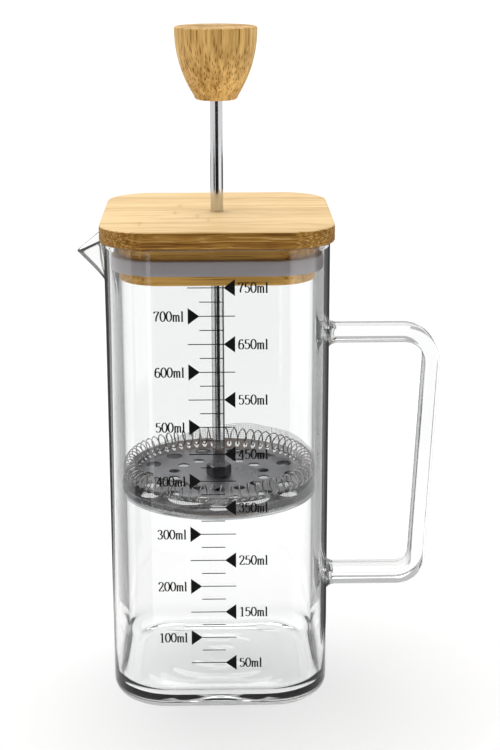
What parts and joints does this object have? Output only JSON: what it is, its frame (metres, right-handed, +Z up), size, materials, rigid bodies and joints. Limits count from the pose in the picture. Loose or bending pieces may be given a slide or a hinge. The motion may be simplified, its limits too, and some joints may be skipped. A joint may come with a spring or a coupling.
{
  "type": "french press",
  "caption": "Square glass french press with a glass handle, pouring spout, bamboo lid and knob, and a sprung steel filter on a sliding rod.",
  "frame": {"origin": "middle of the jar's underside, on the surface it stands on", "axes": "+Z up along the plunger rod, +X towards the handle, -X towards the spout, -Y the face with the printed scale"},
  "size_m": [0.1306, 0.0806, 0.2399],
  "materials": {
    "jar_glass": "clear, polished",
    "handle_glass": "clear, polished",
    "lid_bamboo": "bamboo, satin oiled",
    "plug_bamboo": "bamboo, satin oiled",
    "silicone": "translucent silicone, matte",
    "rod_steel": "polished stainless steel",
    "knob_bamboo": "bamboo, satin oiled",
    "brass": "turned",
    "nut_steel": "bright",
    "plate_steel": "pressed, bright",
    "spring_steel": "drawn wire, bright",
    "spacer_steel": "turned",
    "mesh_steel": "fine woven wire",
    "base_steel": "pressed, bright",
    "cap_steel": "turned, bright"
  },
  "bodies": {
    "jar": {"glass_jar": "jar_glass", "glass_handle": "handle_glass"},
    "lid": {"lid_board": "lid_bamboo", "lid_plug": "plug_bamboo", "lid_seal": "silicone"},
    "plunger": {"plunger_rod": "rod_steel", "knob": "knob_bamboo", "knob_insert": "brass", "clamp_nut": "nut_steel", "strainer_plate": "plate_steel", "edge_spring": "spring_steel", "filter_spacer": "spacer_steel", "mesh_screen": "mesh_steel", "base_plate": "base_steel", "cap_nut": "cap_steel"}
  },
  "joints": [
    {"name": "lid_lift", "type": "slide", "parent": "jar", "child": "lid", "axis": [0, 0, 1], "range_m": [0, 0.15]},
    {"name": "plunger_slide", "type": "slide", "parent": "lid", "child": "plunger", "axis": [0, 0, 1], "range_m": [-0.039, 0.069]}
  ]
}
